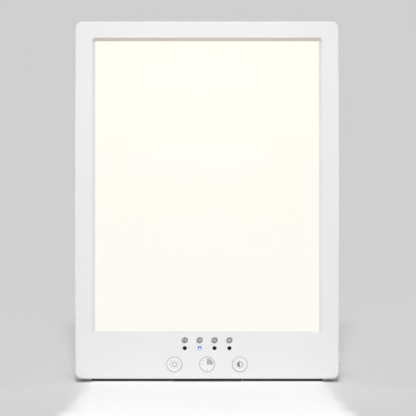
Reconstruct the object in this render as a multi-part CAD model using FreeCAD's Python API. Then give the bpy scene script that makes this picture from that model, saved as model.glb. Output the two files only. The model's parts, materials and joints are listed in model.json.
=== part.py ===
import FreeCAD, Part
import math
import os

from FreeCAD import Vector

os.makedirs("parts", exist_ok=True)

# ---------------------------------------------------------------------------
# Light therapy lamp: a thin edge-lit panel that stands on a folding rear leg.
# Millimetres. The panel is described in its own frame: x to the right as seen
# from the front, y from the front face into the body, z up the panel from its
# bottom edge. PANEL() then leans it back and sets it on the floor.
# ---------------------------------------------------------------------------

# overall
W = 226.0            # body width
H = 308.0            # body height along the panel
T = 17.0             # body thickness
LEAN = 12.0          # degrees the panel leans back
CORNER_R = 6.0       # outer corner radius
FRONT_FILLET = 1.3   # front outer edge
BACK_FILLET = 3.0    # back outer edge
WALL = 2.2           # shell wall
PART_Y = 7.0         # parting plane between bezel and cover
HX = W / 2.0

# screen opening
RIM_X = 98.6         # rim half width at the face
RIM_Z0, RIM_Z1 = 38.3, 293.9
BEVEL = 2.7          # width of the sloped reveal
SCREEN_Y = 4.5       # depth from the face to the diffuser
RIM_R = 2.0

# front controls
BTN_X = (-28.06, 0.0, 28.06)
BTN_Z = 12.1
BTN_R = 6.2          # cap radius
BTN_HOLE_R = 6.42
BTN_PROUD = 0.25
TRAVEL = 0.6         # key travel
LED_X = (-19.11, -6.37, 6.37, 19.11)
LED_Z = 26.15
PIPE_R = 1.75

# side key (right edge)
KEY_Z = 18.7
KEY_H = 8.6
KEY_Y = 11.4
KEY_W = 4.8
KEY_PROUD = 0.8

# stand
OPEN_DEG = 21.0      # leg angle from the panel when open
PIN_Y, PIN_Z = 17.0, 190.0
PIN_R = 1.5
KNUCKLE_R = 3.4
CHEEK_R = 5.2
LEG_Y0, LEG_Y1 = 12.7, 16.7    # folded leg, front and back face
LEG_TOP_HALF = 32.0
LEG_BOT_HALF = 26.0
RECESS_Y = 12.0      # floor of the leg recess
RECESS_TOP_HALF = 33.0
RECESS_BOT_HALF = 27.2
RECESS_TOP_Z = 202.0
CHEEK_X0, CHEEK_X1 = 33.0, 39.4

# light stack, front to back
DIFF_T = 1.8
FILM_T = 0.3
GUIDE_T = 2.6
REFL_T = 0.2
TRAY_T = 0.8
Y_FILM = SCREEN_Y + DIFF_T
Y_GUIDE = Y_FILM + FILM_T
Y_REFL = Y_GUIDE + GUIDE_T
Y_TRAY = Y_REFL + REFL_T
Y_TRAY1 = Y_TRAY + TRAY_T

# control board
PCB_Y0, PCB_Y1 = 7.0, 8.6

# floor line: the horizontal flat under the rear edge passes through this point
FLAT_Y, FLAT_Z = 16.9, 0.0
# places the middle of the footprint at y = 0
SHIFT_Y = -42.8

SIN, COS = math.sin(math.radians(LEAN)), math.cos(math.radians(LEAN))
FLOOR = -FLAT_Y * SIN + FLAT_Z * COS


def PANEL(shape):
    """Leans a shape back with the panel and stands it on the floor."""
    s = shape.copy()
    s.rotate(Vector(0, 0, 0), Vector(1, 0, 0), -LEAN)
    s.translate(Vector(0, SHIFT_Y, -FLOOR))
    return s


def SWING(shape, deg=OPEN_DEG):
    """Turns a folded stand shape about the hinge pin."""
    s = shape.copy()
    s.rotate(Vector(0, PIN_Y, PIN_Z), Vector(1, 0, 0), deg)
    return s


# --- small geometry helpers -------------------------------------------------
def box(x0, x1, y0, y1, z0, z1):
    return Part.makeBox(x1 - x0, y1 - y0, z1 - z0, Vector(x0, y0, z0))


def rwire(x0, x1, z0, z1, r, y):
    """Rounded rectangle in the plane of constant y."""
    c = r * (1 - math.sqrt(0.5))
    p = [
        Vector(x0 + r, y, z0), Vector(x1 - r, y, z0), Vector(x1 - c, y, z0 + c), Vector(x1, y, z0 + r),
        Vector(x1, y, z1 - r), Vector(x1 - c, y, z1 - c), Vector(x1 - r, y, z1),
        Vector(x0 + r, y, z1), Vector(x0 + c, y, z1 - c), Vector(x0, y, z1 - r),
        Vector(x0, y, z0 + r), Vector(x0 + c, y, z0 + c),
    ]
    e = [
        Part.makeLine(p[0], p[1]), Part.Arc(p[1], p[2], p[3]).toShape(),
        Part.makeLine(p[3], p[4]), Part.Arc(p[4], p[5], p[6]).toShape(),
        Part.makeLine(p[6], p[7]), Part.Arc(p[7], p[8], p[9]).toShape(),
        Part.makeLine(p[9], p[10]), Part.Arc(p[10], p[11], p[0]).toShape(),
    ]
    return Part.Wire(e)


def rbox(x0, x1, y0, y1, z0, z1, r):
    """Box whose corners are rounded about y."""
    return Part.Face(rwire(x0, x1, z0, z1, r, y0)).extrude(Vector(0, y1 - y0, 0))


def cyl_y(x, z, r, y0, y1):
    return Part.makeCylinder(r, y1 - y0, Vector(x, y0, z), Vector(0, 1, 0))


def cyl_x(y, z, r, x0, x1):
    return Part.makeCylinder(r, x1 - x0, Vector(x0, y, z), Vector(1, 0, 0))


def cyl_z(x, y, r, z0, z1):
    return Part.makeCylinder(r, z1 - z0, Vector(x, y, z0), Vector(0, 0, 1))


def prism_x(points, x0, x1):
    """Prism along x from (y, z) points."""
    pts = [Vector(x0, y, z) for y, z in points]
    return Part.Face(Part.makePolygon(pts + [pts[0]])).extrude(Vector(x1 - x0, 0, 0))


def prism_y(points, y0, y1):
    """Prism along y from (x, z) points."""
    pts = [Vector(x, y0, z) for x, z in points]
    return Part.Face(Part.makePolygon(pts + [pts[0]])).extrude(Vector(0, y1 - y0, 0))


def fuse(first, *rest):
    return first.multiFuse(list(rest)).removeSplitter() if rest else first


def cut(first, *tools):
    return first.cut(Part.makeCompound(list(tools))) if len(tools) == 1 else first.cut(list(tools))


def edges_at(shape, test):
    """Edges whose every vertex and mid point pass the test."""
    out = []
    for e in shape.Edges:
        mid = e.valueAt((e.FirstParameter + e.LastParameter) / 2)
        if all(test(p) for p in [v.Point for v in e.Vertexes] + [mid]):
            out.append(e)
    return out


def near(a, b, tol=1e-4):
    return abs(a - b) < tol


def slot_z(x, z0, z1, r, y0, y1):
    """Upright slot with round ends, cut along y."""
    return rbox(x - r, x + r, y0, y1, z0, z1, r * 0.999)


# ---------------------------------------------------------------------------
# Fastener positions
# ---------------------------------------------------------------------------
CASE_SCREWS = [(sx * 107.0, z) for sx in (-1, 1) for z in (7.5, 105.0, 205.0, 300.5)] + [(-52.0, 301.0), (52.0, 301.0)]
TRAY_SCREWS = [(sx * 107.0, z) for sx in (-1, 1) for z in (56.0, 156.0, 256.0)]
BOARD_SCREWS = [(-88.0, 12.0), (-44.0, 17.0), (44.0, 17.0), (88.0, 12.0)]
CASE_SPLIT_Y = 11.0
CASE_HEAD_Y = 15.2
JACK_X, JACK_Z = -72.0, 20.0

# ---------------------------------------------------------------------------
# front_bezel
# ---------------------------------------------------------------------------
bez = rbox(-HX, HX, 0, PART_Y, 0, H, CORNER_R)
bez = bez.makeFillet(FRONT_FILLET, edges_at(bez, lambda p: near(p.y, 0)))
# shadow groove at the parting line, bezel half
groove = cut(rbox(-HX - 1, HX + 1, PART_Y - 0.28, PART_Y + 1, -1, H + 1, CORNER_R + 1),
             rbox(-HX + 0.28, HX - 0.28, PART_Y - 0.5, PART_Y + 2, 0.28, H - 0.28, CORNER_R - 0.28))
bez = cut(bez, groove)
cavity = rbox(-HX + WALL, HX - WALL, WALL, PART_Y + 1, WALL, H - WALL, CORNER_R - WALL)
RING_X = RIM_X + 2.0
RING_Z0, RING_Z1 = RIM_Z0 - 2.0, RIM_Z1 + 2.0
cavity = cut(cavity, rbox(-RING_X, RING_X, 0, SCREEN_Y, RING_Z0, RING_Z1, RIM_R + 1.5))
bez = cut(bez, cavity)
# sloped reveal of the screen
over = 0.6
k = BEVEL / SCREEN_Y
w_front = rwire(-RIM_X - over * k, RIM_X + over * k, RIM_Z0 - over * k, RIM_Z1 + over * k, RIM_R + over * k, -over)
w_back = rwire(-RIM_X + BEVEL + over * k, RIM_X - BEVEL - over * k, RIM_Z0 + BEVEL + over * k, RIM_Z1 - BEVEL - over * k, RIM_R - 0.9, SCREEN_Y + over)
opening = Part.makeLoft([w_front, w_back], True, True)
bez = cut(bez, opening)
# groove for the foam ring behind the rim
GX0, GX1 = RIM_X - 1.0, RIM_X + 1.2
gz0, gz1 = RIM_Z0 + 1.0, RIM_Z1 - 1.0
hz0, hz1 = RIM_Z0 - 1.2, RIM_Z1 + 1.2
FOAM_Y0 = 3.7
foam = cut(rbox(-GX1, GX1, FOAM_Y0, SCREEN_Y, hz0, hz1, 2.2), rbox(-GX0, GX0, FOAM_Y0 - 1, SCREEN_Y + 1, gz0, gz1, 1.2))
bez = cut(bez, cut(rbox(-GX1, GX1, FOAM_Y0, SCREEN_Y + 1, hz0, hz1, 2.2), rbox(-GX0, GX0, FOAM_Y0 - 1, SCREEN_Y + 2, gz0, gz1, 1.2)))
# tongue that centres the back cover
tongue = cut(rbox(-HX + 1.2, HX - 1.2, PART_Y - 1.5, PART_Y + 1.6, 1.2, H - 1.2, CORNER_R - 1.2),
             rbox(-HX + WALL, HX - WALL, PART_Y - 3, PART_Y + 3, WALL, H - WALL, CORNER_R - WALL))
bosses = []
for x, z in CASE_SCREWS:
    bosses.append(cyl_y(x, z, 3.2, WALL - 0.2, CASE_SPLIT_Y))
for x, z in TRAY_SCREWS:
    bosses.append(cyl_y(x, z, 2.9, WALL - 0.2, Y_TRAY))
for x, z in BOARD_SCREWS:
    bosses.append(cyl_y(x, z, 2.9, WALL - 0.2, PCB_Y0))
# stiffening ribs behind the control area and round each key
ribs = [box(-104, -40, WALL - 0.2, 4.6, 20.4, 21.6), box(40, 104, WALL - 0.2, 4.6, 20.4, 21.6),
        box(-60, -59, WALL - 0.2, 4.6, 3, 35), box(59, 60, WALL - 0.2, 4.6, 3, 35)]
bez = fuse(bez, tongue, *bosses, *ribs)
holes = [cyl_y(x, z, 1.30, 3.4, CASE_SPLIT_Y + 1) for x, z in CASE_SCREWS]
holes += [cyl_y(x, z, 1.30, 3.4, Y_TRAY + 1) for x, z in TRAY_SCREWS]
holes += [cyl_y(x, z, 1.30, 3.4, PCB_Y0 + 1) for x, z in BOARD_SCREWS]
for x in BTN_X:
    holes.append(cyl_y(x, BTN_Z, BTN_HOLE_R, -1, WALL + 1))
    holes.append(Part.makeCone(BTN_HOLE_R + 0.15, BTN_HOLE_R, 0.15, Vector(x, 0, BTN_Z), Vector(0, 1, 0)))
for x in LED_X:
    holes.append(cyl_y(x, LED_Z, PIPE_R + 0.03, -1, WALL + 1))
bez = cut(bez, *holes)

# ---------------------------------------------------------------------------
# base_strip: black rubber, pressed into a slot under both shells. Its rear
# feet end in a narrow flat that is level when the panel leans on its leg.
# ---------------------------------------------------------------------------
STRIP_HALF = 99.0
STRIP_Y0, STRIP_Y1 = 1.8, 10.2
STRIP_TOP = 1.1
STRIP_LOW = -0.25
FEET_IN = 30.0
flat_y0 = 15.0
flat_z0 = (flat_y0 - FLAT_Y) * SIN / COS + FLAT_Z
foot_profile = [(STRIP_Y1 - 0.5, STRIP_TOP), (STRIP_Y1 - 0.5, STRIP_LOW), (14.4, STRIP_LOW), (flat_y0, flat_z0), (FLAT_Y, FLAT_Z), (FLAT_Y, STRIP_TOP)]
strip_long = box(-STRIP_HALF, STRIP_HALF, STRIP_Y0, STRIP_Y1, STRIP_LOW, STRIP_TOP)
strip_long = strip_long.makeFillet(1.2, [e for e in strip_long.Edges if near(abs(e.CenterOfMass.x), STRIP_HALF) and near(e.CenterOfMass.y, STRIP_Y0)])
foot_l = prism_x(foot_profile, -STRIP_HALF, -FEET_IN)
foot_r = prism_x(foot_profile, FEET_IN, STRIP_HALF)
pegs = [cyl_z(x, 12.4, 1.4, STRIP_TOP - 0.2, 3.4) for x in (-92.0, -64.0, -38.0, 38.0, 64.0, 92.0)]
# lip that closes the gap to the floor between the feet
lip = box(-FEET_IN + 0.4, FEET_IN - 0.4, 8.8, 11.8, -0.98, -0.06)
strip = fuse(strip_long, foot_l, foot_r, lip, *pegs)
slot_cut = [box(-STRIP_HALF, STRIP_HALF, STRIP_Y0, STRIP_Y1, -2, STRIP_TOP),
            box(-STRIP_HALF, -FEET_IN, STRIP_Y1 - 0.6, T + 1, -2, STRIP_TOP),
            box(FEET_IN, STRIP_HALF, STRIP_Y1 - 0.6, T + 1, -2, STRIP_TOP)]
slot_cut[0] = slot_cut[0].makeFillet(1.2, [e for e in slot_cut[0].Edges if near(abs(e.CenterOfMass.x), STRIP_HALF) and near(e.CenterOfMass.y, STRIP_Y0)])
bez = cut(bez, *slot_cut)

# ---------------------------------------------------------------------------
# back_cover
# ---------------------------------------------------------------------------
cov = rbox(-HX, HX, PART_Y, T, 0, H, CORNER_R)
cov = cov.makeFillet(BACK_FILLET, edges_at(cov, lambda p: near(p.y, T)))
groove2 = cut(rbox(-HX - 1, HX + 1, PART_Y - 1, PART_Y + 0.28, -1, H + 1, CORNER_R + 1),
              rbox(-HX + 0.28, HX - 0.28, PART_Y - 2, PART_Y + 1, 0.28, H - 0.28, CORNER_R - 0.28))
cov = cut(cov, groove2)
cov = cut(cov, rbox(-HX + WALL, HX - WALL, PART_Y - 1, T - 2.0, WALL, H - WALL, CORNER_R - WALL),
          rbox(-HX + 1.1, HX - 1.1, PART_Y - 1, PART_Y + 1.7, 1.1, H - 1.1, CORNER_R - 1.1))


def leg_trapezoid(half_top, half_bot, z_top, z_bot, y0, y1):
    """Tapered outline shared by the leg and its recess."""
    return prism_y([(-half_bot, z_bot), (half_bot, z_bot), (half_top, 150.0), (half_top, z_top), (-half_top, z_top), (-half_top, 150.0)], y0, y1)


# pan that forms the recess, one wall thicker all round
pan = leg_trapezoid(RECESS_TOP_HALF + 2.0, RECESS_BOT_HALF + 2.0, RECESS_TOP_Z + 2.0, 1.2, RECESS_Y - 1.5, T - 1.0)
pan = pan.common(box(-60, 60, 0, T - 1.0, 1.2, 400))
# finger scoops either side of the leg's lower end
def scoop(sx, grow):
    x = sx * 34.0
    return fuse(cyl_z(x, 22.0, 9.0 + grow, 16.0, 30.0),
                Part.makeSphere(9.0 + grow, Vector(x, 22.0, 16.0)), Part.makeSphere(9.0 + grow, Vector(x, 22.0, 30.0)))


scoop_walls = [scoop(sx, 1.8).common(box(-60, 60, 0, T - 1.0, 2.0, 60)) for sx in (-1, 1)]
# cheeks that carry the hinge pin
cheeks = []
for x0, x1 in ((-CHEEK_X1, -CHEEK_X0), (CHEEK_X0, CHEEK_X1)):
    c = fuse(cyl_x(PIN_Y, PIN_Z, CHEEK_R, x0, x1),
             prism_x([(T - 1.5, PIN_Z - 13.0), (T - 1.5, PIN_Z + 13.0), (PIN_Y + 4.1, PIN_Z + 3.2), (PIN_Y + 4.1, PIN_Z - 3.2)], x0, x1))
    c = c.common(box(x0, x1, 12.2, 30, 0, 400))
    out = x0 if x0 < 0 else x1
    c = c.makeFillet(0.8, edges_at(c, lambda p: near(p.x, out) and p.y > 12.3))
    cheeks.append(c)
columns = [cyl_y(x, z, 3.5, CASE_SPLIT_Y, T - 1.0) for x, z in CASE_SCREWS]
# long ribs that stiffen the back wall
cover_ribs = [box(sx * 70.0 - 0.6, sx * 70.0 + 0.6, 12.6, T - 1.0, 44.0, 296.0) for sx in (-1, 1)]
cover_ribs += [box(-104.0, -36.0, 12.6, T - 1.0, z - 0.6, z + 0.6) for z in (80.0, 130.0, 180.0)]
cover_ribs += [box(36.0, 104.0, 12.6, T - 1.0, z - 0.6, z + 0.6) for z in (80.0, 130.0, 180.0)]
cover_ribs += [box(-104.0, 104.0, 12.6, T - 1.0, z - 0.6, z + 0.6) for z in (225.0, 255.0)]
cov = fuse(cov, pan, *scoop_walls, *cheeks, *columns, *cover_ribs)
tools = [leg_trapezoid(RECESS_TOP_HALF, RECESS_BOT_HALF, RECESS_TOP_Z, -3.0, RECESS_Y, T + 0.2)]
tools += [scoop(sx, 0.0).common(box(-60, 60, 0, 40, 2.0, 60)) for sx in (-1, 1)]
tools += [cyl_x(PIN_Y, PIN_Z, PIN_R + 0.02, -CHEEK_X1 - 1, CHEEK_X1 + 1)]
for x, z in CASE_SCREWS:
    tools += [cyl_y(x, z, 1.45, CASE_SPLIT_Y - 1, T + 1), cyl_y(x, z, 2.8, CASE_HEAD_Y, T + 4)]
# air slots over the light tray and beside the board
VENT_X = [-63.0 + 6.0 * i for i in range(22)]
tools += [slot_z(x, 268.0, 286.0, 1.1, T - 4.6, T + 1) for x in VENT_X]
tools += [slot_z(sx * (46.0 + 6.0 * i), 44.0, 58.0, 1.1, T - 2.5, T + 1) for sx in (-1, 1) for i in range(4)]
# hole for the power jack
tools += [cyl_y(JACK_X, JACK_Z, 4.05, T - 3, T + 1), cyl_y(JACK_X, JACK_Z, 5.4, T - 0.6, T + 1)]
# window for the side key
key_gap = 0.3
key_hole = box(HX - WALL - 1, HX + 2, KEY_Y - KEY_W / 2 - key_gap, KEY_Y + KEY_W / 2 + key_gap, KEY_Z - KEY_H / 2 - key_gap, KEY_Z + KEY_H / 2 + key_gap)
key_hole = key_hole.makeFillet(1.3, [e for e in key_hole.Edges if near(abs(e.CenterOfMass.y - KEY_Y), KEY_W / 2 + key_gap) and near(abs(e.CenterOfMass.z - KEY_Z), KEY_H / 2 + key_gap)])
tools += [key_hole]
# slot and peg holes for the rubber strip
tools += slot_cut + [cyl_z(x, 12.4, 1.42, 0.5, 4.0) for x in (-92.0, -64.0, -38.0, 38.0, 64.0, 92.0)]
cov = cut(cov, *tools)

# ---------------------------------------------------------------------------
# Light stack
# ---------------------------------------------------------------------------
DX, DZ0, DZ1 = 100.9, 36.9, 295.3
diffuser = rbox(-DX, DX, SCREEN_Y, Y_FILM, DZ0, DZ1, 2.0)
film = rbox(-100.2, 100.2, Y_FILM, Y_GUIDE, DZ0 + 0.2, DZ1 - 0.2, 1.0)
guide = box(-100.0, 100.0, Y_GUIDE, Y_REFL, DZ0 + 0.3, DZ1 - 0.3)
reflector = box(-100.2, 100.2, Y_REFL, Y_TRAY, DZ0 + 0.2, DZ1 - 0.2)
STRIP_X0, STRIP_X1 = 101.4, 102.2
tray = rbox(-103.2, 103.2, Y_TRAY, Y_TRAY1, 36.6, 296.0, 1.5)
flanges = [box(sx * 102.7 - 0.5, sx * 102.7 + 0.5, 6.5, Y_TRAY1, 41.5, 290.7) for sx in (-1, 1)]
ears = [rbox(min(sx * 102.0, sx * 110.2), max(sx * 102.0, sx * 110.2), Y_TRAY, Y_TRAY1, z - 4.0, z + 4.0, 1.5) for sx in (-1, 1) for z in (56.0, 156.0, 256.0)]
tray = fuse(tray, *flanges, *ears)
tray_cuts = [cyl_y(x, z, 1.5, Y_TRAY - 1, Y_TRAY1 + 1) for x, z in TRAY_SCREWS]
tray_cuts += [box(100.9, 104.0, Y_TRAY - 1, Y_TRAY1 + 1, 36.0, 41.4), box(-104.0, -100.9, Y_TRAY - 1, Y_TRAY1 + 1, 36.0, 41.4)]
# stamped stiffening beads would hide behind the cover; a row of lightening holes stands for them
tray_cuts += [cyl_y(x, z, 6.0, Y_TRAY - 1, Y_TRAY1 + 1) for x in (-82.0, 82.0) for z in (100.0, 140.0, 210.0, 240.0)]
tray = cut(tray, *tray_cuts)


def led_strip(sx):
    x0, x1 = sorted((sx * STRIP_X0, sx * STRIP_X1))
    board = box(x0, x1, 6.5, 9.3, 41.0, 291.0)
    tab = box(x0, x1, 6.5, 11.6, 36.6, 41.2)
    return fuse(board, tab)


def strip_leds(sx):
    x0, x1 = sorted((sx * 100.2, sx * STRIP_X0))
    out = []
    for i in range(30):
        z = 46.0 + i * (286.0 - 46.0) / 29
        out.append(box(x0, x1, 6.8, 9.0, z - 1.75, z + 1.75))
    return Part.makeCompound(out)


# ---------------------------------------------------------------------------
# Control board and what sits on it
# ---------------------------------------------------------------------------
pcb = rbox(-95.0, 95.0, PCB_Y0, PCB_Y1, 4.0, 34.5, 1.5)
pcb = fuse(pcb, box(94.0, 108.4, PCB_Y0, PCB_Y1, 13.0, 24.5))
pcb = cut(pcb, *[cyl_y(x, z, 1.5, PCB_Y0 - 1, PCB_Y1 + 1) for x, z in BOARD_SCREWS])

SW_Y0 = 3.9
tacts, stems, caps = [], [], []
for x in BTN_X:
    body = box(x - 3.0, x + 3.0, SW_Y0, PCB_Y0, BTN_Z - 3.0, BTN_Z + 3.0)
    body = body.makeFillet(0.5, [e for e in body.Edges if near(abs(e.CenterOfMass.x - x), 3.0) and near(abs(e.CenterOfMass.z - BTN_Z), 3.0)])
    tacts.append(cut(body, cyl_y(x, BTN_Z, 1.83, SW_Y0 - 1, 5.3)))
    stems.append(cyl_y(x, BTN_Z, 1.75, 3.1, 4.5))
    cap = cyl_y(x, BTN_Z, BTN_R, -BTN_PROUD, 3.1)
    cap = cap.makeFillet(0.2, [e for e in cap.Edges if near(e.BoundBox.YMax, -BTN_PROUD, 1e-3)])
    flange = cut(cyl_y(x, BTN_Z, 7.7, WALL + 0.12, 3.1), box(x - 9, x + 9, 0, 5, BTN_Z - 8.5, BTN_Z - 6.9), box(x - 9, x + 9, 0, 5, BTN_Z + 6.9, BTN_Z + 8.5))
    caps.append(fuse(cap, flange))

pipes, dots = [], []
holder = rbox(-24.0, 24.0, WALL, 5.9, LED_Z - 3.3, LED_Z + 3.3, 1.0)
for x in LED_X:
    p = fuse(cyl_y(x, LED_Z, PIPE_R, -0.02, 5.6), cyl_y(x, LED_Z, 2.3, WALL, 3.0))
    pipes.append(p)
    holder = cut(holder, cyl_y(x, LED_Z, PIPE_R + 0.05, 0, 7), cyl_y(x, LED_Z, 2.35, 0, 3.05))
    dots.append(box(x - 1.0, x + 1.0, 6.1, PCB_Y0, LED_Z - 0.65, LED_Z + 0.65))

# right-angle switch behind the side key, on the back of the board
side_switch = cut(box(103.4, 107.6, PCB_Y1, PCB_Y1 + 5.0, KEY_Z - 3.2, KEY_Z + 3.2), cyl_x(KEY_Y, KEY_Z, 1.33, 106.0, 109.0))
side_stem = cyl_x(KEY_Y, KEY_Z, 1.25, 106.9, 109.2)
kb = box(109.2, HX + KEY_PROUD, KEY_Y - KEY_W / 2, KEY_Y + KEY_W / 2, KEY_Z - KEY_H / 2, KEY_Z + KEY_H / 2)
kb = kb.makeFillet(1.0, [e for e in kb.Edges if near(abs(e.CenterOfMass.y - KEY_Y), KEY_W / 2) and near(abs(e.CenterOfMass.z - KEY_Z), KEY_H / 2)])
kb = kb.makeFillet(0.35, [e for e in kb.Edges if near(e.BoundBox.XMin, HX + KEY_PROUD, 1e-3)])
side_key = fuse(kb, box(109.2, HX - WALL - 0.12, KEY_Y - 3.1, KEY_Y + 3.3, KEY_Z - 5.6, KEY_Z + 5.6))

controller = box(-5.0, 5.0, PCB_Y1, PCB_Y1 + 1.3, 13.0, 23.0)
driver = box(46.5, 51.5, PCB_Y1, PCB_Y1 + 1.5, 24.0, 30.0)
inductor = cut(rbox(61.0, 72.0, PCB_Y1, PCB_Y1 + 4.6, 12.0, 23.0, 3.0), cyl_y(66.5, 17.5, 3.6, PCB_Y1 + 4.1, PCB_Y1 + 6))
caps_el = Part.makeCompound([cyl_y(x, z, 3.15, PCB_Y1, PCB_Y1 + 5.8) for x, z in ((-54.0, 27.0), (-60.5, 10.0))])
CONN_X0, CONN_X1 = 89.0, 94.6
conns = Part.makeCompound([cut(box(min(sx * CONN_X0, sx * CONN_X1), max(sx * CONN_X0, sx * CONN_X1), PCB_Y1, PCB_Y1 + 3.6, 25.0, 31.0),
                               box(min(sx * 93.2, sx * 95.0), max(sx * 93.2, sx * 95.0), PCB_Y1 + 0.2, PCB_Y1 + 3.0, 29.2, 30.6)) for sx in (-1, 1)])
WIRE_R = 0.5
WIRE_Z = 27.6
WIRE_BEND = 3.0


def lead(sx, y):
    """One wire: out of the connector, one bend, up to the strip's tab."""
    xs, xe, zt = sx * CONN_X1, sx * (STRIP_X0 + STRIP_X1) / 2, 36.6
    a, b, c = Vector(xs, y, WIRE_Z), Vector(xe - sx * WIRE_BEND, y, WIRE_Z), Vector(xe, y, WIRE_Z + WIRE_BEND)
    q = WIRE_BEND * (1 - math.sqrt(0.5))
    m = Vector(xe - sx * q, y, WIRE_Z + q)
    path = Part.Wire([Part.makeLine(a, b), Part.Arc(b, m, c).toShape(), Part.makeLine(c, Vector(xe, y, zt))])
    ring = Part.Wire([Part.makeCircle(WIRE_R, a, Vector(1, 0, 0))])
    return path.makePipeShell([ring], True, False)


def leads(sx):
    return Part.makeCompound([lead(sx, 9.35), lead(sx, 10.85)])


# power jack: a sleeve round a centre pin, with a spring contact inside
jack = fuse(box(JACK_X - 4.5, JACK_X + 4.5, PCB_Y1, T - 2.05, JACK_Z - 4.5, JACK_Z + 4.5), cyl_y(JACK_X, JACK_Z, 4.0, PCB_Y1, T - 0.35))
jack = cut(jack, cyl_y(JACK_X, JACK_Z, 3.15, 9.6, T + 1), box(JACK_X - 1.0, JACK_X + 1.0, 10.6, 15.2, JACK_Z + 2.9, JACK_Z + 3.7))
JACK_PIN_R = 1.0
jack_pin = cyl_y(JACK_X, JACK_Z, JACK_PIN_R, 9.6, T - 1.1)
jack_pin = jack_pin.makeFillet(0.35, [e for e in jack_pin.Edges if near(e.BoundBox.YMin, T - 1.1, 1e-3)])
jack_contact = box(JACK_X - 0.9, JACK_X + 0.9, 10.7, 15.0, JACK_Z + 3.2, JACK_Z + 3.5)


# --- screws: pan head with a cross recess -----------------------------------
def screw(x, z, y_head, length, r=1.25, hr=2.3, hh=1.5):
    head = cyl_y(x, z, hr, y_head, y_head + hh)
    head = head.makeFillet(0.55, [e for e in head.Edges if near(e.BoundBox.YMin, y_head + hh, 1e-3)])
    s = fuse(head, cyl_y(x, z, r, y_head - length, y_head))
    a, b = 1.25, 0.3
    return cut(s, box(x - a, x + a, y_head + hh - 0.8, y_head + hh + 1, z - b, z + b), box(x - b, x + b, y_head + hh - 0.8, y_head + hh + 1, z - a, z + a))


case_screws = Part.makeCompound([screw(x, z, CASE_HEAD_Y, 10.4, hr=2.6, hh=1.5) for x, z in CASE_SCREWS])
tray_screws = Part.makeCompound([screw(x, z, Y_TRAY1, 5.4) for x, z in TRAY_SCREWS])
board_screws = Part.makeCompound([screw(x, z, PCB_Y1, 4.8) for x, z in BOARD_SCREWS])

# ---------------------------------------------------------------------------
# Stand: leg, pin, washers, detent leaf and rubber foot. The leg is drawn
# folded and swung open about the pin.
# ---------------------------------------------------------------------------
# distance down the folded leg to the floor at the leg's centre line
TILT = math.radians(OPEN_DEG - LEAN)
pin_height = (-PIN_Y * SIN + PIN_Z * COS) - FLOOR


def leg_floor(u):
    """Height w (below the pin) where the floor cuts the leg at offset u."""
    return (-pin_height - u * math.sin(TILT)) / math.cos(TILT)


leg = leg_trapezoid(LEG_TOP_HALF, LEG_BOT_HALF, PIN_Z, 3.0, LEG_Y0, LEG_Y1)
leg = leg.makeFillet(0.9, [e for e in edges_at(leg, lambda p: near(p.y, LEG_Y1)) if e.CenterOfMass.z < PIN_Z - 1])
leg = leg.makeFillet(0.5, [e for e in edges_at(leg, lambda p: near(p.y, LEG_Y0)) if e.CenterOfMass.z < PIN_Z - 1])
knuckle = cyl_x(PIN_Y, PIN_Z, KNUCKLE_R, -31.8, 31.8)
leg = fuse(leg.common(box(-40, 40, 0, 30, 3.0, PIN_Z)), knuckle)
leg = cut(leg, box(-40, -31.8, 0, 30, PIN_Z - 6.0, PIN_Z + 10), box(31.8, 40, 0, 30, PIN_Z - 6.0, PIN_Z + 10))
# ribbed inner face
pockets = []
for i in range(6):
    z0 = 22.0 + i * 25.0
    z1 = z0 + 22.5
    for sx in (-1, 1):
        pockets.append(rbox(min(sx * 1.2, sx * 22.0), max(sx * 1.2, sx * 22.0), LEG_Y0 - 1, LEG_Y0 + 2.2, z0, z1, 1.5))
# room for the detent leaf, up to the knuckle
pockets.append(box(-8.0, 8.0, LEG_Y0 - 1, LEG_Y0 + 2.2, 171.0, 186.0))
pockets.append(box(-8.0, 8.0, LEG_Y0 - 1, PIN_Y - KNUCKLE_R - 0.1, 185.0, 196.0))
leg = cut(leg, *pockets)
# tongue at the foot
leg = cut(leg, box(-40, 40, LEG_Y0 - 1, LEG_Y0 + 1.0, -5, 12.0), box(-40, 40, LEG_Y1 - 1.0, LEG_Y1 + 1, -5, 12.0), box(-40, -22, 0, 30, -5, 12.0), box(22, 40, 0, 30, -5, 12.0))
leg_open = SWING(leg)
# heel that meets the recess floor and stops the leg, drawn open
heel = box(-20.0, 20.0, RECESS_Y + 0.25, PIN_Y + 0.5, PIN_Z, PIN_Z + 7.5)
heel = heel.makeFillet(1.0, [e for e in heel.Edges if near(e.CenterOfMass.z, PIN_Z + 7.5) and near(e.CenterOfMass.y, PIN_Y + 0.5)])
leg_open = fuse(leg_open, heel)
leg_open = cut(leg_open, cyl_x(PIN_Y, PIN_Z, PIN_R + 0.05, -40, 40))

foot = rbox(-24.6, 24.6, LEG_Y0 - 0.1, LEG_Y1 + 0.1, -8.0, 11.9, 2.0)
foot = cut(foot, box(-22, 22, LEG_Y0 + 1.0, LEG_Y1 - 1.0, 3.0, 13.0))
foot_open = SWING(foot)


def above_floor(shape):
    """Keeps what is above the floor, in panel coordinates."""
    blk = box(-200, 200, -300, 400, 0, 400)
    blk.translate(Vector(0, 0, FLOOR))
    blk.rotate(Vector(0, 0, 0), Vector(1, 0, 0), LEAN)
    return shape.common(blk)


foot_open = above_floor(foot_open)

pin = cyl_x(PIN_Y, PIN_Z, PIN_R, -CHEEK_X1 + 0.3, CHEEK_X1 - 0.3)
pin = pin.makeFillet(0.25, [e for e in pin.Edges if near(abs(e.CenterOfMass.x), CHEEK_X1 - 0.3, 1e-3) and e.Length < 12 and len(e.Vertexes) == 1])
washers = Part.makeCompound([cut(cyl_x(PIN_Y, PIN_Z, 3.1, a, b), cyl_x(PIN_Y, PIN_Z, PIN_R + 0.04, a - 1, b + 1)) for a, b in ((-33.0, -32.1), (32.1, 33.0))])
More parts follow.
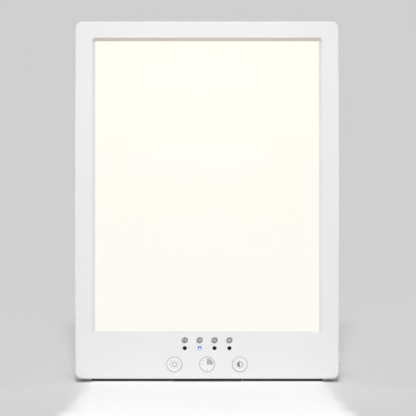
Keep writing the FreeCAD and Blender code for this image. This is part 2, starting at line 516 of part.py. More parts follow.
# leaf that gives the leg its click, lying in the recess under the knuckle
leaf = prism_x([(RECESS_Y, 173.0), (RECESS_Y, 184.5), (RECESS_Y + 0.75, 188.2), (RECESS_Y + 1.0, 188.1), (RECESS_Y + 0.3, 184.4), (RECESS_Y + 0.3, 173.0)], -5.0, 5.0)
leaf = cut(leaf, cyl_y(0, 176.0, 1.1, 0, 30))
leaf_screw = fuse(cyl_y(0, 176.0, 1.0, RECESS_Y - 1.2, RECESS_Y + 0.3), cyl_y(0, 176.0, 1.9, RECESS_Y + 0.3, RECESS_Y + 1.1))
leaf_screw = cut(leaf_screw, box(-1.3, 1.3, RECESS_Y + 0.75, RECESS_Y + 2, 175.8, 176.2))
cov = cut(cov, cyl_y(0, 176.0, 1.02, RECESS_Y - 1.25, RECESS_Y + 1))

# ---------------------------------------------------------------------------
NODES = {
    "front_bezel": bez,
    "back_cover": cov,
    "base_strip": strip,
    "diffuser_panel": diffuser,
    "diffuser_gasket": foam,
    "diffusion_film": film,
    "light_guide": guide,
    "reflector_sheet": reflector,
    "backplate": tray,
    "led_strip_left": led_strip(-1),
    "led_strip_right": led_strip(1),
    "strip_leds_left": strip_leds(-1),
    "strip_leds_right": strip_leds(1),
    "control_board": pcb,
    "tact_switches": Part.makeCompound(tacts),
    "button_light": caps[0],
    "button_timer": caps[1],
    "button_brightness": caps[2],
    "switch_stem_light": stems[0],
    "switch_stem_timer": stems[1],
    "switch_stem_brightness": stems[2],
    "timer_light_pipes": Part.makeCompound(pipes),
    "light_pipe_holder": holder,
    "timer_leds": Part.makeCompound(dots),
    "side_switch": side_switch,
    "side_switch_stem": side_stem,
    "side_key": side_key,
    "controller_chip": controller,
    "driver_chip": driver,
    "power_inductor": inductor,
    "filter_capacitors": caps_el,
    "led_connectors": conns,
    "strip_wires_left": leads(-1),
    "strip_wires_right": leads(1),
    "dc_jack_body": jack,
    "dc_jack_pin": jack_pin,
    "dc_jack_contact": jack_contact,
    "case_screws": case_screws,
    "backplate_screws": tray_screws,
    "board_screws": board_screws,
    "kickstand_leg": leg_open,
    "kickstand_foot": foot_open,
    "hinge_pin": pin,
    "hinge_washers": washers,
    "detent_spring": leaf,
    "detent_screw": leaf_screw,
}

low, high = [1e9] * 3, [-1e9] * 3
for name, shape in NODES.items():
    placed = PANEL(shape)
    n = len(placed.Solids)
    bb = placed.optimalBoundingBox(False)
    for i, (a, b) in enumerate(((bb.XMin, bb.XMax), (bb.YMin, bb.YMax), (bb.ZMin, bb.ZMax))):
        low[i], high[i] = min(low[i], a), max(high[i], b)
    print(f"{name:26s} solids {n:3d} valid {placed.isValid()} vol {placed.Volume:10.1f} mm3")
    placed.exportStep("parts/" + name + ".step")
print("box", [round(v, 2) for v in low], [round(v, 2) for v in high], "middle y", round((low[1] + high[1]) / 2, 2))
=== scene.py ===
import json
import math

import bmesh
import bpy
from mathutils import Matrix, Vector


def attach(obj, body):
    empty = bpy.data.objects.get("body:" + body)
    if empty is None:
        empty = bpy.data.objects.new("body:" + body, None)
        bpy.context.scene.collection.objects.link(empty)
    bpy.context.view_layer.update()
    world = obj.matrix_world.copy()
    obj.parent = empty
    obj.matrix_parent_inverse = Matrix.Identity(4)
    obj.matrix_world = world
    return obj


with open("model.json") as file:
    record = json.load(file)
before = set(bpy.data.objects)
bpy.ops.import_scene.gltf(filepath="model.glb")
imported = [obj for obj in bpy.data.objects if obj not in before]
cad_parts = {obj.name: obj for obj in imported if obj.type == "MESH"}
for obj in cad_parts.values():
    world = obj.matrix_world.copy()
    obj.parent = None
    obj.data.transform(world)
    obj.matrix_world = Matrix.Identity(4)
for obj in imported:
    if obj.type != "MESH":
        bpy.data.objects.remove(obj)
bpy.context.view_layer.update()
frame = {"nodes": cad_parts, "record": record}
NODES = frame["nodes"]

# ---------------------------------------------------------------------------
# The panel's own frame: x right, y from the front face into the body, z up
# the panel, in millimetres. It leans back and stands on the floor.
# ---------------------------------------------------------------------------
LEAN = math.radians(12.0)
SHIFT_Y, FLOOR = -42.8, -16.9 * math.sin(LEAN)
PANEL = Matrix.Translation(Vector((0, SHIFT_Y / 1000, -FLOOR / 1000))) @ Matrix.Rotation(-LEAN, 4, "X") @ Matrix.Scale(0.001, 4)


def P(x, y, z):
    """Panel millimetres to metres in the shared frame."""
    return PANEL @ Vector((x, y, z))


# ---------------------------------------------------------------------------
# Materials
# ---------------------------------------------------------------------------
class Nodes:
    """Small helper round one material's node tree."""

    def __init__(self, name):
        self.mat = bpy.data.materials.new(name)
        self.mat.use_nodes = True
        self.t = self.mat.node_tree
        self.b = self.t.nodes["Principled BSDF"]
        self.co = self.t.nodes.new("ShaderNodeTexCoord").outputs["Object"]

    def link(self, a, b):
        self.t.links.new(a, b)

    def put(self, name, value):
        self.b.inputs[name].default_value = value

    def mapping(self, scale=(1, 1, 1), rot=(0, 0, 0)):
        m = self.t.nodes.new("ShaderNodeMapping")
        m.inputs["Scale"].default_value = scale
        m.inputs["Rotation"].default_value = rot
        self.link(self.co, m.inputs["Vector"])
        return m.outputs["Vector"]

    def noise(self, scale, detail=2.0, rough=0.5, vec=None, distortion=0.0):
        n = self.t.nodes.new("ShaderNodeTexNoise")
        n.inputs["Scale"].default_value = scale
        n.inputs["Detail"].default_value = detail
        n.inputs["Roughness"].default_value = rough
        n.inputs["Distortion"].default_value = distortion
        self.link(vec or self.co, n.inputs["Vector"])
        return n.outputs["Fac"]

    def voronoi(self, scale, feature="F1", vec=None, randomness=1.0):
        n = self.t.nodes.new("ShaderNodeTexVoronoi")
        n.feature = feature
        n.inputs["Scale"].default_value = scale
        n.inputs["Randomness"].default_value = randomness
        self.link(vec or self.co, n.inputs["Vector"])
        return n.outputs["Distance"]

    def ramp(self, fac, lo, hi, a=0.0, b=1.0):
        n = self.t.nodes.new("ShaderNodeMapRange")
        n.inputs["From Min"].default_value = lo
        n.inputs["From Max"].default_value = hi
        n.inputs["To Min"].default_value = a
        n.inputs["To Max"].default_value = b
        self.link(fac, n.inputs["Value"])
        return n.outputs["Result"]

    def mix(self, fac, a, b):
        n = self.t.nodes.new("ShaderNodeMix")
        n.data_type = "RGBA"
        ins = [s for s in n.inputs if s.type == "RGBA"]
        for s, v in zip(ins, (a, b)):
            if hasattr(v, "is_output"):
                self.link(v, s)
            else:
                s.default_value = (*v, 1.0)
        fin = [s for s in n.inputs if s.type == "VALUE"][0]
        if hasattr(fac, "is_output"):
            self.link(fac, fin)
        else:
            fin.default_value = fac
        return [o for o in n.outputs if o.type == "RGBA"][0]

    def math(self, op, a, b=0.0):
        n = self.t.nodes.new("ShaderNodeMath")
        n.operation = op
        for s, v in zip(n.inputs, (a, b)):
            if hasattr(v, "is_output"):
                self.link(v, s)
            else:
                s.default_value = v
        return n.outputs[0]

    def bump(self, height, strength, distance, below=None):
        n = self.t.nodes.new("ShaderNodeBump")
        n.inputs["Strength"].default_value = strength
        n.inputs["Distance"].default_value = distance
        self.link(height, n.inputs["Height"])
        if below is not None:
            self.link(below, n.inputs["Normal"])
        return n.outputs["Normal"]

    def normal(self, socket):
        self.link(socket, self.b.inputs["Normal"])


def moulded(name, color, rough=0.42, grain=2600.0, depth=0.25, vary=0.02, coat=0.0, sss=0.0, tint=None, spec=0.5):
    """Moulded plastic or rubber: fine spark-eroded grain, soft mottling, uneven gloss."""
    m = Nodes(name)
    cloud = m.ramp(m.noise(9.0, 3.0, 0.6), 0.3, 0.7)
    fleck = m.ramp(m.noise(grain * 0.5, 2.0, 0.6), 0.35, 0.75)
    dark = tuple(c * (1 - vary) for c in (tint or color))
    base = m.mix(cloud, dark, color)
    base = m.mix(m.math("MULTIPLY", fleck, 0.35), base, tuple(min(1.0, c * (1 + vary * 0.8)) for c in color))
    m.link(base, m.b.inputs["Base Color"])
    m.link(m.ramp(m.noise(60.0, 4.0, 0.65), 0.3, 0.7, rough - 0.05, rough + 0.05), m.b.inputs["Roughness"])
    fine = m.bump(m.noise(grain, 3.0, 0.6), depth, 0.00006)
    m.normal(m.bump(m.noise(38.0, 2.0, 0.5), 0.05, 0.0004, fine))
    m.put("Specular IOR Level", spec)
    if coat:
        m.put("Coat Weight", coat)
        m.put("Coat Roughness", 0.12)
    if sss:
        m.put("Subsurface Weight", sss)
        m.put("Subsurface Radius", (0.002, 0.0018, 0.0015))
        m.put("Subsurface Scale", 1.0)
    return m.mat


def metal(name, color, rough=0.3, stretch=(1, 1, 1), grain=900.0, depth=0.2):
    """Drawn, rolled or plated metal with a grain along one direction."""
    m = Nodes(name)
    v = m.mapping(stretch)
    g = m.noise(grain, 3.0, 0.6, v)
    m.link(m.mix(m.ramp(g, 0.3, 0.7), tuple(c * 0.86 for c in color), color), m.b.inputs["Base Color"])
    m.link(m.ramp(m.noise(grain * 0.3, 3.0, 0.6, v), 0.3, 0.7, max(0.05, rough - 0.08), rough + 0.1), m.b.inputs["Roughness"])
    m.put("Metallic", 1.0)
    m.normal(m.bump(g, depth, 0.00004))
    return m.mat


WHITE = (0.866, 0.867, 0.869)

shell = moulded("white_shell", WHITE, rough=0.42, grain=1500.0, depth=0.55, vary=0.014)
leg_shell = moulded("white_leg", (0.860, 0.861, 0.864), rough=0.46, grain=1150.0, depth=0.7, vary=0.018)
keys = moulded("key_white", (0.882, 0.883, 0.885), rough=0.36, grain=3600.0, depth=0.18, vary=0.010)
rubber = moulded("black_rubber", (0.016, 0.016, 0.017), rough=0.72, grain=1800.0, depth=0.5, vary=0.25, spec=0.3)
foam = moulded("foam", (0.80, 0.79, 0.76), rough=0.9, grain=1500.0, depth=1.0, vary=0.08)
nylon = moulded("nylon", (0.80, 0.77, 0.70), rough=0.45, grain=2400.0, depth=0.2, vary=0.04)
black_plastic = moulded("switch_black", (0.022, 0.022, 0.023), rough=0.5, grain=2200.0, depth=0.3, vary=0.2)
stem_plastic = moulded("switch_stem", (0.07, 0.07, 0.07), rough=0.38, grain=2600.0, depth=0.2, vary=0.15)
jack_black = moulded("jack_black", (0.018, 0.018, 0.019), rough=0.42, grain=2600.0, depth=0.25, vary=0.2)
connector = moulded("connector_white", (0.76, 0.73, 0.62), rough=0.45, grain=2400.0, depth=0.25, vary=0.05)
wire = moulded("wire_red", (0.42, 0.020, 0.016), rough=0.4, grain=2400.0, depth=0.15, vary=0.1)
chip = moulded("chip_black", (0.030, 0.030, 0.032), rough=0.6, grain=3000.0, depth=0.6, vary=0.3)
film = moulded("film", (0.86, 0.87, 0.88), rough=0.55, grain=4000.0, depth=0.2, vary=0.02)
reflector = moulded("reflector", (0.90, 0.90, 0.90), rough=0.35, grain=3000.0, depth=0.1, vary=0.01)
strip_board = moulded("strip_board", (0.80, 0.80, 0.77), rough=0.38, grain=1800.0, depth=0.15, vary=0.03)
tray_alu = metal("tray_aluminium", (0.72, 0.73, 0.75), rough=0.34, stretch=(1, 1, 0.06), grain=1400.0, depth=0.25)
can_alu = metal("can_aluminium", (0.70, 0.70, 0.72), rough=0.26, stretch=(1, 0.1, 1), grain=1200.0)
steel_screw = metal("steel_screw", (0.58, 0.58, 0.60), rough=0.30, grain=2200.0, depth=0.3)
steel_pin = metal("steel_pin", (0.62, 0.62, 0.63), rough=0.22, stretch=(0.05, 1, 1), grain=2600.0)
spring_steel = metal("spring_steel", (0.45, 0.45, 0.46), rough=0.28, stretch=(1, 1, 0.05), grain=2200.0)
nickel = metal("nickel", (0.74, 0.72, 0.68), rough=0.16, stretch=(1, 0.1, 1), grain=2600.0, depth=0.1)


def screen_material():
    """Opal acrylic, lit from behind: warm white. Its tone shifting a little down the sheet is painted light, the
    backlight's uneven glow set in the base colour.
    """
    m = Nodes("opal_screen")
    sep = m.t.nodes.new("ShaderNodeSeparateXYZ")
    m.link(m.co, sep.inputs[0])
    wave = m.math("ADD", sep.outputs["Z"], m.ramp(m.noise(5.0, 2.0, 0.5), 0.25, 0.75, -0.02, 0.02))
    # painted glow: these base colours shift down the sheet to stand in for the backlight's uneven light
    top = m.mix(m.ramp(wave, 0.190, 0.215), (0.305, 0.296, 0.276), (0.305, 0.306, 0.262))
    base = m.mix(m.ramp(wave, 0.085, 0.165), (0.280, 0.303, 0.290), top)
    m.link(base, m.b.inputs["Base Color"])
    m.link(m.ramp(m.noise(120.0, 3.0, 0.6), 0.3, 0.7, 0.30, 0.36), m.b.inputs["Roughness"])
    m.normal(m.bump(m.noise(3200.0, 2.0, 0.5), 0.12, 0.00005))
    m.put("Specular IOR Level", 0.35)
    m.put("Emission Color", (1.0, 0.955, 0.879, 1.0))
    m.put("Emission Strength", 0.684)
    return m.mat


def board_material():
    """Green solder mask with copper traces showing through and a speckle of vias."""
    m = Nodes("circuit_board")
    trace = m.ramp(m.voronoi(160.0, "DISTANCE_TO_EDGE"), 0.02, 0.06)
    base = m.mix(trace, (0.035, 0.16, 0.075), (0.016, 0.085, 0.045))
    via = m.ramp(m.voronoi(420.0), 0.0, 0.12)
    base = m.mix(via, (0.30, 0.26, 0.12), base)
    m.link(base, m.b.inputs["Base Color"])
    m.put("Roughness", 0.32)
    m.normal(m.bump(trace, 0.3, 0.00004))
    return m.mat


def led_material():
    m = Nodes("led_package")
    dots = m.ramp(m.noise(2600.0, 3.0, 0.6), 0.3, 0.7)
    m.link(m.mix(dots, (0.86, 0.74, 0.36), (0.90, 0.82, 0.50)), m.b.inputs["Base Color"])
    m.link(m.ramp(m.noise(900.0), 0.3, 0.7, 0.25, 0.45), m.b.inputs["Roughness"])
    m.put("Emission Color", (1.0, 0.93, 0.80, 1.0))
    m.put("Emission Strength", 0.6)
    return m.mat


def acrylic_material():
    m = Nodes("clear_acrylic")
    dots = m.ramp(m.voronoi(700.0, randomness=0.15), 0.18, 0.24)
    m.link(m.mix(dots, (0.95, 0.97, 0.97), (0.80, 0.86, 0.87)), m.b.inputs["Base Color"])
    m.link(m.ramp(dots, 0.0, 1.0, 0.5, 0.06), m.b.inputs["Roughness"])
    m.put("Transmission Weight", 0.5)
    m.put("IOR", 1.49)
    return m.mat


def lens_material(name, lit):
    """Smoked timer window; the lit one glows blue round a white core."""
    m = Nodes(name)
    cloud = m.ramp(m.noise(1500.0, 3.0, 0.6), 0.3, 0.7)
    if lit:
        m.link(m.mix(cloud, (0.05, 0.07, 0.20), (0.07, 0.09, 0.24)), m.b.inputs["Base Color"])
        m.put("Emission Color", (0.15, 0.27, 0.95, 1.0))
        m.put("Emission Strength", 0.50)
    else:
        m.link(m.mix(cloud, (0.004, 0.004, 0.005), (0.007, 0.007, 0.008)), m.b.inputs["Base Color"])
    m.link(m.ramp(m.noise(400.0), 0.3, 0.7, 0.16, 0.24), m.b.inputs["Roughness"])
    m.normal(m.bump(m.noise(900.0, 2.0), 0.1, 0.00003))
    m.put("Specular IOR Level", 0.3)
    return m.mat


def ink_and_painted_shade_material(name, color, rough=0.55):
    """Pad-printed ink, also used for the painted shade ring round each key: a thin uneven layer."""
    m = Nodes(name)
    c = m.ramp(m.noise(1400.0, 4.0, 0.7), 0.3, 0.7)
    m.link(m.mix(c, tuple(x * 0.93 for x in color), tuple(min(1.0, x * 1.06) for x in color)), m.b.inputs["Base Color"])
    m.link(m.ramp(m.noise(700.0, 3.0), 0.3, 0.7, rough - 0.08, rough + 0.08), m.b.inputs["Roughness"])
    m.normal(m.bump(m.noise(2400.0, 3.0, 0.6), 0.25, 0.00004))
    m.put("Specular IOR Level", 0.35)
    return m.mat


opal = screen_material()
pcb = board_material()
led = led_material()
acrylic = acrylic_material()
lens_dark = lens_material("timer_lens", False)
lens_lit = lens_material("timer_lens_lit", True)
ink = ink_and_painted_shade_material("icon_ink", (0.26, 0.26, 0.265))
# the ring colour is painted shade: the grey of the gap round each key
painted_key_gap_shade = ink_and_painted_shade_material("key_gap_painted_shade", (0.52, 0.52, 0.52))
ink_sun = ink_and_painted_shade_material("icon_ink_sun", (0.36, 0.36, 0.365))
ink_fill = ink_and_painted_shade_material("icon_ink_fill", (0.48, 0.48, 0.485))
ink_disc = ink_and_painted_shade_material("number_ink", (0.215, 0.215, 0.22))
ink_pale = ink_and_painted_shade_material("number_ink_pale", (0.50, 0.50, 0.505))
ink_light = ink_and_painted_shade_material("number_ink_light", (0.66, 0.66, 0.66))



def bezel_material():
    """The shell's plastic, with painted light on its sloped reveal: painted shade and a painted warm glow from the
    screen on the top band, painted shade on the bottom band.
    """
    m = shell.copy()
    m.name = "white_shell_bezel_painted_shade"
    t = m.node_tree
    b = t.nodes["Principled BSDF"]
    source = b.inputs["Base Color"].links[0].from_socket
    co = t.nodes.new("ShaderNodeTexCoord").outputs["Object"]
    back = t.nodes.new("ShaderNodeMapping")
    back.vector_type = "POINT"
    inv = PANEL.inverted()
    back.inputs["Location"].default_value = inv.translation
    back.inputs["Rotation"].default_value = inv.to_euler()
    back.inputs["Scale"].default_value = (1000, 1000, 1000)
    t.links.new(co, back.inputs["Vector"])
    sep = t.nodes.new("ShaderNodeSeparateXYZ")
    t.links.new(back.outputs["Vector"], sep.inputs[0])

    def span(sock, lo, hi):
        n = t.nodes.new("ShaderNodeMapRange")
        n.inputs["From Min"].default_value, n.inputs["From Max"].default_value = lo, hi
        t.links.new(sock, n.inputs["Value"])
        return n.outputs["Result"]

    def times(p, q):
        n = t.nodes.new("ShaderNodeMath")
        n.operation = "MULTIPLY"
        t.links.new(p, n.inputs[0])
        t.links.new(q, n.inputs[1])
        return n.outputs[0]

    side = t.nodes.new("ShaderNodeMath")
    side.operation = "ABSOLUTE"
    t.links.new(sep.outputs["X"], side.inputs[0])
    inside = span(side.outputs[0], 99.0, 98.7)
    # painted light: the top reveal band is darkened and warmed (painted shade with a painted warm glow from the
    # screen), the bottom band darkened (painted shade)
    for lo, hi, tint in ((290.8, 294.2, (0.87, 0.79, 0.73, 1.0)), (38.0, 41.4, (0.90, 0.90, 0.90, 1.0))):
        painted_reveal_shade_mask = times(inside, times(span(sep.outputs["Y"], 0.05, 0.5), times(span(sep.outputs["Z"], lo - 0.3, lo), span(sep.outputs["Z"], hi + 0.3, hi))))
        n = t.nodes.new("ShaderNodeMix")
        n.data_type = "RGBA"
        n.blend_type = "MULTIPLY"
        ins = [s for s in n.inputs if s.type == "RGBA"]
        t.links.new(source, ins[0])
        ins[1].default_value = tint
        t.links.new(painted_reveal_shade_mask, [s for s in n.inputs if s.type == "VALUE"][0])
        source = [o for o in n.outputs if o.type == "RGBA"][0]
    t.links.new(source, b.inputs["Base Color"])
    return m


BY_SLOT = {
    "white_shell": shell, "key_white": keys, "opal_screen": opal, "black_rubber": rubber, "foam": foam,
    "film": film, "clear_acrylic": acrylic, "reflector": reflector, "tray_aluminium": tray_alu,
    "strip_board": strip_board, "led_package": led, "circuit_board": pcb, "switch_black": black_plastic,
    "switch_stem": stem_plastic, "timer_lens": lens_dark, "chip_black": chip, "can_aluminium": can_alu,
    "connector_white": connector, "wire_red": wire, "jack_black": jack_black, "nickel": nickel,
    "steel_screw": steel_screw, "steel_pin": steel_pin, "spring_steel": spring_steel, "nylon": nylon,
}
for sub in frame["record"]["subparts"]:
    o = NODES[sub["node"]]
    o.data.materials.clear()
    o.data.materials.append(BY_SLOT[sub["material_slot"]])
NODES["front_bezel"].data.materials[0] = bezel_material()
NODES["kickstand_leg"].data.materials[0] = leg_shell


# ---------------------------------------------------------------------------
# Printed marks: thin raised films of ink, modelled as meshes; the grey ring round each key is painted shade, not ink
# ---------------------------------------------------------------------------
INK_T = 0.035   # mm of ink above the face


def new_mesh(name, bm, material, body):
    me = bpy.data.meshes.new(name)
    bmesh.ops.recalc_face_normals(bm, faces=bm.faces)
    bm.to_mesh(me)
    bm.free()
    me.materials.append(material)
    o = bpy.data.objects.new(name, me)
    bpy.context.collection.objects.link(o)
    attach(o, body)
    return o


def film_prism(bm, loop, y_face, t=INK_T):
    """A thin prism with the outline loop, [(x, z) mm], standing t off the plane y_face."""
    top = [bm.verts.new(P(x, y_face - t, z)) for x, z in loop]
    bot = [bm.verts.new(P(x, y_face + 0.01, z)) for x, z in loop]
    n = len(loop)
    bm.faces.new(top)
    bm.faces.new(bot[::-1])
    for i in range(n):
        j = (i + 1) % n
        bm.faces.new((top[i], bot[i], bot[j], top[j]))


def film_ring(bm, cx, cz, r0, r1, y_face, a0=0.0, a1=2 * math.pi, seg=48, t=INK_T):
    """A flat ring or arc of ink, or of painted shade round the keys."""
    full = abs((a1 - a0) - 2 * math.pi) < 1e-6
    n = seg if full else seg + 1
    rows = []
    for y in (y_face - t, y_face + 0.01):
        for r in (r0, r1):
            rows.append([bm.verts.new(P(cx + r * math.cos(a0 + (a1 - a0) * i / seg), y, cz + r * math.sin(a0 + (a1 - a0) * i / seg))) for i in range(n)])
    ti, to, bi, bo = rows
    m = n if full else n - 1
    for i in range(m):
        j = (i + 1) % n
        bm.faces.new((ti[i], ti[j], to[j], to[i]))
        bm.faces.new((bi[i], bo[i], bo[j], bi[j]))
        bm.faces.new((ti[i], bi[i], bi[j], ti[j]))
        bm.faces.new((to[i], to[j], bo[j], bo[i]))
    if not full:
        bm.faces.new((ti[0], to[0], bo[0], bi[0]))
        bm.faces.new((ti[-1], bi[-1], bo[-1], to[-1]))


def disc_loop(cx, cz, r, seg=48, a0=0.0, a1=2 * math.pi):
    full = abs((a1 - a0) - 2 * math.pi) < 1e-6
    n = seg if full else seg + 1
    return [(cx + r * math.cos(a0 + (a1 - a0) * i / seg), cz + r * math.sin(a0 + (a1 - a0) * i / seg)) for i in range(n)]


def ray_loop(cx, cz, a, r0, r1, w):
    """A short round-ended bar pointing outwards at angle a."""
    d, n = Vector((math.cos(a), math.sin(a))), Vector((-math.sin(a), math.cos(a)))
    pts = []
    for k in range(7):
        b = math.pi / 2 + math.pi * k / 6
        pts.append(Vector((cx, cz)) + d * (r0 + w + w * math.cos(b)) + n * (w * math.sin(b)))
    for k in range(7):
        b = -math.pi / 2 + math.pi * k / 6
        pts.append(Vector((cx, cz)) + d * (r1 - w + w * math.cos(b)) + n * (w * math.sin(b)))
    return [(p.x, p.y) for p in pts]


BTN_X = (-28.06, 0.0, 28.06)
BTN_Z = 12.1
FACE = -0.25          # key caps stand this proud
NAMES = ("light", "timer", "brightness")

# sun
bm = bmesh.new()
cx = BTN_X[0]
film_ring(bm, cx, BTN_Z, 1.62, 2.14, FACE)
for k in range(8):
    film_prism(bm, ray_loop(cx, BTN_Z, math.pi / 4 * k + math.pi / 2, 2.75, 3.9, 0.24), FACE)
new_mesh("icon_sun", bm, ink_sun, "button_light")

# timer: a framed quarter and dots round the dial
bm = bmesh.new()
cx = BTN_X[1]
R_PIE = 4.85
film_prism(bm, [(cx + 0.35, BTN_Z + 0.35)] + disc_loop(cx, BTN_Z, R_PIE - 0.55, 16, math.radians(4.7), math.radians(85.3)), FACE, 0.025)
new_mesh("icon_timer_fill", bm, ink_fill, "button_timer")
bm = bmesh.new()
film_ring(bm, cx, BTN_Z, R_PIE - 0.6, R_PIE, FACE, 0.0, math.pi / 2, 18)
film_prism(bm, [(cx, BTN_Z), (cx + R_PIE - 0.62, BTN_Z), (cx + R_PIE - 0.62, BTN_Z + 0.42), (cx + 0.42, BTN_Z + 0.42)], FACE)
film_prism(bm, [(cx, BTN_Z), (cx + 0.42, BTN_Z + 0.42), (cx + 0.42, BTN_Z + R_PIE - 0.62), (cx, BTN_Z + R_PIE - 0.62)], FACE)
for deg, r in ((136, 0.36), (180, 0.40), (225, 0.22), (270, 0.44), (315, 0.24)):
    a = math.radians(deg)
    film_prism(bm, disc_loop(cx + 4.5 * math.cos(a), BTN_Z + 4.5 * math.sin(a), r, 16), FACE)
new_mesh("icon_timer", bm, ink, "button_timer")

# brightness: left half filled, with rays
bm = bmesh.new()
cx = BTN_X[2]
film_ring(bm, cx, BTN_Z, 2.02, 2.45, FACE)
film_prism(bm, disc_loop(cx, BTN_Z, 2.03, 24, math.pi / 2, 3 * math.pi / 2), FACE)
for k in range(8):
    film_prism(bm, ray_loop(cx, BTN_Z, math.pi / 4 * k + math.pi / 2, 2.95, 3.85, 0.2), FACE)
new_mesh("icon_brightness", bm, ink, "button_brightness")

# a pale ring round each key: painted shade standing in for the shadow in the gap between key and face
bm = bmesh.new()
for x in BTN_X:
    film_ring(bm, x, BTN_Z, 6.60, 6.84, 0.0, seg=96, t=0.02)
new_mesh("key_gap_shade_rings", bm, painted_key_gap_shade, "housing")

# minutes over the timer windows: grey discs with light digits
LED_X = (-19.11, -6.37, 6.37, 19.11)
LED_Z = 26.15
NUM_Z = 32.85
bm = bmesh.new()
for x in LED_X:
    film_prism(bm, disc_loop(x, NUM_Z, 2.55, 48), 0.0, 0.03)
new_mesh("timer_number_discs", bm, ink_disc, "housing")
bm = bmesh.new()
for x in LED_X:
    for a0 in (10, 190):
        film_ring(bm, x, NUM_Z, 2.85, 3.25, 0.0, math.radians(a0), math.radians(a0 + 62), 14, 0.02)
new_mesh("timer_number_arcs", bm, ink_pale, "housing")

digits = []
for x, s in zip(LED_X, ("15", "30", "45", "60")):
    cu = bpy.data.curves.new("minutes_" + s, "FONT")
    cu.body = s
    cu.size = 3.3
    cu.align_x = "CENTER"
    cu.align_y = "CENTER"
    cu.offset = 0.07
    cu.extrude = 0.02
    cu.resolution_u = 4
    tmp = bpy.data.objects.new("minutes_" + s, cu)
    bpy.context.collection.objects.link(tmp)
    bpy.context.view_layer.update()
    me = bpy.data.meshes.new_from_object(tmp.evaluated_get(bpy.context.evaluated_depsgraph_get()))
    bpy.data.objects.remove(tmp)
    bpy.data.curves.remove(cu)
    # text lies in its own xy plane; stand it on the panel's face
    me.transform(PANEL @ Matrix.Translation(Vector((x, -0.045, NUM_Z))) @ Matrix.Rotation(math.pi / 2, 4, "X"))
    me.materials.append(ink_light)
    o = bpy.data.objects.new("minutes_" + s, me)
    bpy.context.collection.objects.link(o)
    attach(o, "housing")
    digits.append(o)

# ---------------------------------------------------------------------------
# Back: polarity mark over the power inlet, no wording
# ---------------------------------------------------------------------------
BACK = 17.0


def bar(bm, x0, x1, z0, z1, y=BACK, t=-0.03):
    film_prism(bm, [(x0, z0), (x1, z0), (x1, z1), (x0, z1)], y, t)


bm = bmesh.new()
px, pz = -72.0, 31.0
film_prism(bm, disc_loop(px, pz, 0.55, 24), BACK, -0.03)
film_ring(bm, px, pz, 1.35, 1.65, BACK, math.radians(-60), math.radians(240), 36, -0.03)
bar(bm, px + 0.5, px + 3.4, pz - 0.13, pz + 0.13, BACK, -0.03)
bar(bm, px - 3.4, px - 1.4, pz - 0.13, pz + 0.13, BACK, -0.03)
for sx in (-1, 1):
    film_ring(bm, px + sx * 4.6, pz, 0.98, 1.2, BACK, seg=32, t=-0.03)
    bar(bm, px + sx * 4.6 - 0.6, px + sx * 4.6 + 0.6, pz - 0.11, pz + 0.11, BACK, -0.03)
bar(bm, px - 4.6 - 0.11, px - 4.6 + 0.11, pz + 0.11, pz + 0.6, BACK, -0.03)
bar(bm, px - 4.6 - 0.11, px - 4.6 + 0.11, pz - 0.6, pz - 0.11, BACK, -0.03)
new_mesh("polarity_mark", bm, ink_pale, "housing")

# ---------------------------------------------------------------------------
# Timer windows: domed lenses over the light pipes, the second one lit
# ---------------------------------------------------------------------------


def dome(bm, cx, cz, r, y_edge, rise, rings=6, seg=40, sink=0.25):
    """A shallow dome standing out of the face, with a skirt below it."""
    rows = []
    for i in range(rings):
        a = math.pi / 2 * i / rings
        rr, h = r * math.cos(a), rise * math.sin(a)
        rows.append([bm.verts.new(P(cx + rr * math.cos(2 * math.pi * k / seg), y_edge - h, cz + rr * math.sin(2 * math.pi * k / seg))) for k in range(seg)])
    base = [bm.verts.new(P(cx + r * math.cos(2 * math.pi * k / seg), y_edge + sink, cz + r * math.sin(2 * math.pi * k / seg))) for k in range(seg)]
    tip = bm.verts.new(P(cx, y_edge - rise, cz))
    allr = [base] + rows
    for a, b in zip(allr, allr[1:]):
        for k in range(seg):
            j = (k + 1) % seg
            bm.faces.new((a[k], a[j], b[j], b[k]))
    for k in range(seg):
        bm.faces.new((rows[-1][k], rows[-1][(k + 1) % seg], tip))
    bm.faces.new(base[::-1])


def smooth(o):
    for p in o.data.polygons:
        p.use_smooth = True


bm = bmesh.new()
for i, x in enumerate(LED_X):
    if i != 1:
        dome(bm, x, LED_Z, 1.72, -0.03, 0.16)
smooth(new_mesh("timer_windows_dark", bm, lens_dark, "housing"))
bm = bmesh.new()
dome(bm, LED_X[1], LED_Z, 1.72, -0.03, 0.16)
smooth(new_mesh("timer_window_lit", bm, lens_lit, "housing"))
core = Nodes("lit_core")
core.link(core.mix(core.ramp(core.noise(1800.0), 0.3, 0.7), (0.85, 0.9, 1.0), (0.8, 0.86, 0.98)), core.b.inputs["Base Color"])
core.put("Emission Color", (0.85, 0.92, 1.0, 1.0))
core.put("Emission Strength", 0.55)
bm = bmesh.new()
dome(bm, LED_X[1] + 0.05, LED_Z - 0.45, 0.82, -0.14, 0.10)
smooth(new_mesh("timer_window_core", bm, core.mat, "housing"))

# ---------------------------------------------------------------------------
# Stage, light, camera
# ---------------------------------------------------------------------------
bm = bmesh.new()
S = 40.0
bm.faces.new([bm.verts.new(v) for v in ((-S, -S, 0), (S, -S, 0), (S, S, 0), (-S, S, 0))])
me = bpy.data.meshes.new("floor")
bm.to_mesh(me)
bm.free()
floor = bpy.data.objects.new("floor", me)
bpy.context.collection.objects.link(floor)
f = Nodes("floor")
f.put("Base Color", (0.80, 0.80, 0.80, 1.0))
f.put("Roughness", 0.9)
f.put("Specular IOR Level", 0.0)
me.materials.append(f.mat)

world = bpy.data.worlds.new("studio")
bpy.context.scene.world = world
world.use_nodes = True
bg = world.node_tree.nodes["Background"]
bg.inputs["Color"].default_value = (1.0, 1.0, 1.0, 1.0)
bg.inputs["Strength"].default_value = 0.30


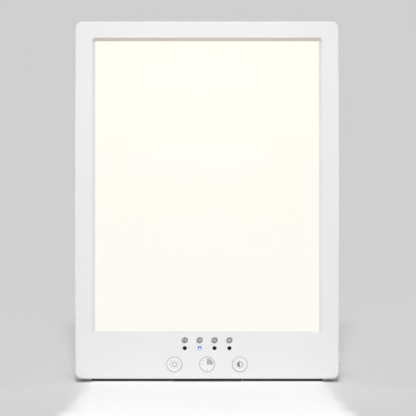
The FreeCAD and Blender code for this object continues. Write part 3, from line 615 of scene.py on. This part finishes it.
def sun(name, azimuth, elevation, strength, angle):
    """Soft far light from a compass direction: azimuth 0 is the viewer's side, 90 the right."""
    la = bpy.data.lights.new(name, "SUN")
    la.energy = strength
    la.angle = math.radians(angle)
    o = bpy.data.objects.new(name, la)
    a, e = math.radians(azimuth), math.radians(elevation)
    d = Vector((math.sin(a) * math.cos(e), -math.cos(a) * math.cos(e), math.sin(e)))
    o.rotation_mode = "QUATERNION"
    o.rotation_quaternion = d.to_track_quat("Z", "Y")
    bpy.context.collection.objects.link(o)
    return o


def area(name, loc, look, size, power, spread=180.0, color=(1, 1, 1)):
    la = bpy.data.lights.new(name, "AREA")
    la.shape = "RECTANGLE"
    la.size, la.size_y = size
    la.energy = power
    la.spread = math.radians(spread)
    la.color = color
    o = bpy.data.objects.new(name, la)
    o.location = loc
    o.rotation_mode = "QUATERNION"
    o.rotation_quaternion = (Vector(look) - Vector(loc)).to_track_quat("-Z", "Y")
    if abs(look[1] - loc[1]) < 1e-4:
        o.rotation_quaternion = (1.0, 0.0, 0.0, 0.0)     # straight down, sides along x and y
    o.visible_camera = False
    bpy.context.collection.objects.link(o)
    return o


sun("key", 0.0, 38.0, 1.410, 6.0)
sun("overhead", 0.0, 89.9, 0.660, 8.0)
# a soft spot on the top of the panel
area("front", (0.0, -1.0, 0.66), (-0.006, 0.0, 0.295), (0.20, 0.12), 0.0180, 22.0)

# grazing strips that pick out the side edges, and a low soft light on the back
for side in (-1, 1):
    area("edge_left" if side < 0 else "edge_right", (side * 1.1, 0.035, 0.20), (side * 0.11, 0.0, 0.175), (0.05, 0.24), 0.0150, 10.0)
    area("reveal_left" if side < 0 else "reveal_right", (side * 1.1, -0.05, 0.20), (-side * 0.11, 0.0, 0.165), (0.06, 0.24), 0.0085 if side < 0 else 0.0040, 12.0)
area("back", (0.28, 1.30, 0.36), (0.0, 0.03, 0.16), (0.50, 0.30), 0.08, 34.0)

# the lamp's own light on the floor before it, widening away from the base
GLOW = (0.80, 0.92, 1.10, 1.25)
for k, (y0, y1) in enumerate(((-0.062, -0.115), (-0.115, -0.18), (-0.18, -0.25), (-0.25, -0.36))):
    ym = (y0 + y1) / 2
    w, d = 2 * (0.1010 - 0.0857 * (ym + 0.058)), y0 - y1
    area("glow_%d" % (k + 1), (0.0, ym, 0.16), (0.0, ym + 1e-5, 0.0), (w, d), GLOW[k] * w * d, 7.0, (1.0, 0.998, 0.99))
area("glow_edge", (0.0, -0.0525, 0.0030), (0.0, -0.0525, 0.0), (0.203, 0.0195), 0.80 * 0.203 * 0.0195, 90.0, (1.0, 0.998, 0.99))
area("glow_under", (0.0, -0.0354, 0.00145), (0.0, -0.0369, -0.0085), (0.198, 0.0142), 2.6 * 0.198 * 0.0142, 150.0, (1.0, 0.998, 0.99))

cam = bpy.data.cameras.new("camera")
cam_o = bpy.data.objects.new("camera", cam)
bpy.context.collection.objects.link(cam_o)
DIST = 12.0
ELEV = math.radians(6.0)
FIELD = 0.8582e-3 * 416
AXIS_V = 0.1450       # the view axis passes this far up the image plane
target = Vector((0.0008, 0, AXIS_V / math.cos(ELEV)))
back = Vector((0, -math.cos(ELEV), math.sin(ELEV)))
cam_o.location = target + back * DIST
cam_o.rotation_mode = "QUATERNION"
cam_o.rotation_quaternion = back.to_track_quat("Z", "Y")
cam.sensor_width = 36.0
cam.lens = 36.0 * DIST / FIELD
cam.clip_start, cam.clip_end = 0.1, 100.0
bpy.context.scene.camera = cam_o

vs = bpy.context.scene.view_settings
vs.view_transform = "Standard"
vs.look = "None"
vs.exposure = 0.0
vs.gamma = 1.0
